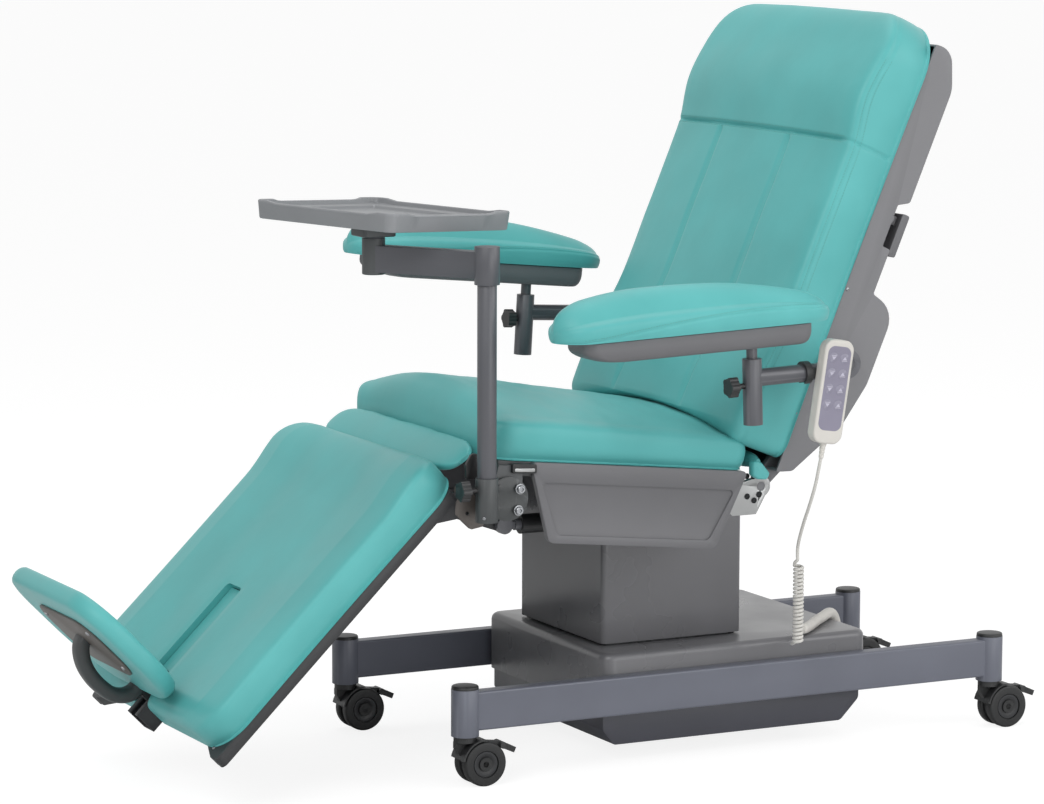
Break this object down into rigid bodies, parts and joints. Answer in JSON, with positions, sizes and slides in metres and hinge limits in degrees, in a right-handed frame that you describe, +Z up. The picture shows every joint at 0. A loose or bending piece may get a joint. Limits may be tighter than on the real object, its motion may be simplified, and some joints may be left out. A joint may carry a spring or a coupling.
{
  "type": "treatment recliner",
  "caption": "Electric treatment recliner with a column lift, castered base, hinged back and leg rest, swing tray, padded arms and a corded handset.",
  "frame": {"origin": "middle of the object's box, on the floor", "axes": "+Z up, -Y towards the feet, +X towards the sitter's left"},
  "size_m": [0.98, 1.8357, 1.3104],
  "materials": {
    "base_paint": "powder coated, semi-matt",
    "moulded_grey": "fine moulded grain",
    "dark_paint": "powder coated, semi-matt",
    "dark_plastic": "moulded, satin",
    "leg_board": "moulded board, semi-matt",
    "tread": "matt tread on moulded wheels",
    "vinyl": "coated upholstery vinyl over foam, soft sheen",
    "grey_steel": "powder coated, satin",
    "bright_rod": "ground bright",
    "pale_plastic": "moulded, satin",
    "key_film": "embossed film",
    "cord_sheath": "smooth sheath"
  },
  "bodies": {
    "base": {"side_frame_left": "base_paint", "side_frame_right": "base_paint", "post_caps": "dark_plastic", "base_plate": "dark_paint", "base_cover": "moulded_grey", "base_tub": "dark_plastic", "lift_column": "dark_paint", "cord_boot": "pale_plastic", "curly_cord": "cord_sheath"},
    "seat": {"column_sleeve": "moulded_grey", "seat_frame": "dark_paint", "side_panel_left": "moulded_grey", "side_panel_right": "moulded_grey", "seat_cushion": "vinyl", "knee_flap": "vinyl", "front_hinge_left": "dark_paint", "front_hinge_right": "dark_paint", "rear_hinges": "grey_steel", "back_actuator": "dark_plastic", "leg_actuator": "dark_plastic", "table_socket": "dark_paint", "lead_lower": "cord_sheath"},
    "leg_rest": {"leg_frame": "leg_board", "leg_pad": "vinyl"},
    "foot_rest": {"foot_slider": "dark_paint", "footboard": "vinyl"},
    "leg_rod": {"leg_rod": "bright_rod"},
    "back": {"back_shell": "moulded_grey", "back_cushion": "vinyl", "lead_upper": "cord_sheath"},
    "back_rod": {"back_rod": "bright_rod"},
    "release_lever": {"release_lever": "moulded_grey"},
    "arm_left": {"arm_bracket_left": "grey_steel", "handset_body": "pale_plastic", "handset_keypad": "key_film"},
    "arm_right": {"arm_bracket_right": "grey_steel"},
    "post_left": {"arm_post_left": "grey_steel"},
    "post_right": {"arm_post_right": "grey_steel"},
    "rest_left": {"arm_tray_left": "moulded_grey", "arm_pad_left": "vinyl"},
    "rest_right": {"arm_tray_right": "moulded_grey", "arm_pad_right": "vinyl"},
    "knob_left": {"arm_knob_left": "dark_plastic"},
    "knob_right": {"arm_knob_right": "dark_plastic"},
    "mast": {"table_mast": "grey_steel"},
    "swing_arm": {"table_arm": "grey_steel"},
    "tray": {"table_tray": "moulded_grey"},
    "mast_knob": {"table_knob": "dark_plastic"},
    "caster_1": {"caster_fork_1": "dark_plastic"},
    "wheels_1": {"caster_wheels_1": "tread"},
    "brake_1": {"caster_brake_1": "dark_plastic"},
    "caster_2": {"caster_fork_2": "dark_plastic"},
    "wheels_2": {"caster_wheels_2": "tread"},
    "brake_2": {"caster_brake_2": "dark_plastic"},
    "caster_3": {"caster_fork_3": "dark_plastic"},
    "wheels_3": {"caster_wheels_3": "tread"},
    "brake_3": {"caster_brake_3": "dark_plastic"},
    "caster_4": {"caster_fork_4": "dark_plastic"},
    "wheels_4": {"caster_wheels_4": "tread"},
    "brake_4": {"caster_brake_4": "dark_plastic"}
  },
  "joints": [
    {"name": "lift_height", "type": "slide", "parent": "base", "child": "seat", "axis": [0, 0, 1], "range_m": [0, 0.18], "deforming": ["curly_cord"]},
    {"name": "back_recline", "type": "hinge", "parent": "seat", "child": "back", "pos_m": [0, 0.3224, 0.486], "axis": [-1, 0, 0], "range_deg": [0, 57], "deforming": ["lead_lower"]},
    {"name": "leg_lift", "type": "hinge", "parent": "seat", "child": "leg_rest", "pos_m": [0, -0.1856, 0.5026], "axis": [-1, 0, 0], "range_deg": [-5, 44], "deforming": ["knee_flap"]},
    {"name": "foot_slide", "type": "slide", "parent": "leg_rest", "child": "foot_rest", "axis": [0, 0.7157, 0.6984], "range_m": [0, 0.12]},
    {"name": "leg_push", "type": "slide", "parent": "seat", "child": "leg_rod", "axis": [0, -1, 0], "range_m": [-0.0068, 0.0545]},
    {"name": "back_pull", "type": "slide", "parent": "seat", "child": "back_rod", "axis": [0, -1, 0], "range_m": [0, 0.0492]},
    {"name": "release_lever", "type": "hinge", "parent": "back", "child": "release_lever", "pos_m": [0.246, 0.57741, 0.94898], "axis": [1, 0, 0], "range_deg": [0, 16], "stiffness_Nm_per_rad": 1, "springref_deg": -5.73},
    {"name": "arm_pivot_left", "type": "hinge", "parent": "back", "child": "arm_left", "pos_m": [0.3065, 0.4684, 0.7], "axis": [-1, 0, 0], "range_deg": [-57, 60], "deforming": ["lead_upper"]},
    {"name": "arm_height_left", "type": "slide", "parent": "arm_left", "child": "post_left", "axis": [0, -0.0349, 0.9994], "range_m": [0, 0.06]},
    {"name": "arm_turn_left", "type": "hinge", "parent": "post_left", "child": "rest_left", "pos_m": [0.43, 0.21229, 0.7561], "axis": [0, -0.0349, 0.9994], "range_deg": [-6, 20]},
    {"name": "arm_knob_left", "type": "hinge", "parent": "arm_left", "child": "knob_left", "pos_m": [0.43, 0.21459, 0.69014], "axis": [0, -0.9994, -0.0349], "continuous": true},
    {"name": "arm_pivot_right", "type": "hinge", "parent": "back", "child": "arm_right", "pos_m": [-0.3065, 0.4684, 0.7], "axis": [-1, 0, 0], "range_deg": [-57, 60]},
    {"name": "arm_height_right", "type": "slide", "parent": "arm_right", "child": "post_right", "axis": [0, 0.0558, 0.9984], "range_m": [0, 0.06]},
    {"name": "arm_turn_right", "type": "hinge", "parent": "post_right", "child": "rest_right", "pos_m": [-0.43, 0.21842, 0.77908], "axis": [0, 0.0558, 0.9984], "range_deg": [-20, 6]},
    {"name": "arm_knob_right", "type": "hinge", "parent": "arm_right", "child": "knob_right", "pos_m": [-0.43, 0.21474, 0.71318], "axis": [0, -0.9984, 0.0558], "continuous": true},
    {"name": "table_height", "type": "slide", "parent": "seat", "child": "mast", "axis": [0, 0, 1], "range_m": [0, 0.03]},
    {"name": "table_swing", "type": "hinge", "parent": "mast", "child": "swing_arm", "pos_m": [0.33, -0.2416, 0.874], "axis": [0, 0, 1], "range_deg": [-30, 120]},
    {"name": "tray_turn", "type": "hinge", "parent": "swing_arm", "child": "tray", "pos_m": [0.14214, -0.3636, 0.9445], "axis": [0, 0, 1], "range_deg": [-60, 60]},
    {"name": "table_knob", "type": "hinge", "parent": "seat", "child": "mast_knob", "pos_m": [0.33, -0.2416, 0.527], "axis": [0, -1, 0], "continuous": true},
    {"name": "swivel_1", "type": "hinge", "parent": "base", "child": "caster_1", "pos_m": [0.248, -0.2421, 0.088], "axis": [0, 0, 1], "continuous": true},
    {"name": "wheel_1", "type": "hinge", "parent": "caster_1", "child": "wheels_1", "pos_m": [0.248, -0.2131, 0.039], "axis": [1, 0, 0], "continuous": true},
    {"name": "brake_1", "type": "hinge", "parent": "caster_1", "child": "brake_1", "pos_m": [0.248, -0.1751, 0.067], "axis": [-1, 0, 0], "range_deg": [0, 14]},
    {"name": "swivel_2", "type": "hinge", "parent": "base", "child": "caster_2", "pos_m": [-0.248, -0.2421, 0.088], "axis": [0, 0, 1], "continuous": true},
    {"name": "wheel_2", "type": "hinge", "parent": "caster_2", "child": "wheels_2", "pos_m": [-0.248, -0.2131, 0.039], "axis": [1, 0, 0], "continuous": true},
    {"name": "brake_2", "type": "hinge", "parent": "caster_2", "child": "brake_2", "pos_m": [-0.248, -0.1751, 0.067], "axis": [-1, 0, 0], "range_deg": [0, 14]},
    {"name": "swivel_3", "type": "hinge", "parent": "base", "child": "caster_3", "pos_m": [0.248, 0.8269, 0.088], "axis": [0, 0, 1], "continuous": true},
    {"name": "wheel_3", "type": "hinge", "parent": "caster_3", "child": "wheels_3", "pos_m": [0.248, 0.8559, 0.039], "axis": [1, 0, 0], "continuous": true},
    {"name": "brake_3", "type": "hinge", "parent": "caster_3", "child": "brake_3", "pos_m": [0.248, 0.8939, 0.067], "axis": [-1, 0, 0], "range_deg": [0, 14]},
    {"name": "swivel_4", "type": "hinge", "parent": "base", "child": "caster_4", "pos_m": [-0.248, 0.8269, 0.088], "axis": [0, 0, 1], "continuous": true},
    {"name": "wheel_4", "type": "hinge", "parent": "caster_4", "child": "wheels_4", "pos_m": [-0.248, 0.8559, 0.039], "axis": [1, 0, 0], "continuous": true},
    {"name": "brake_4", "type": "hinge", "parent": "caster_4", "child": "brake_4", "pos_m": [-0.248, 0.8939, 0.067], "axis": [-1, 0, 0], "range_deg": [0, 14]}
  ],
  "couplings": [
    {"joint": "leg_push", "follows": "leg_lift", "m_per_rad": 0.07},
    {"joint": "back_pull", "follows": "back_recline", "m_per_rad": 0.049}
  ]
}
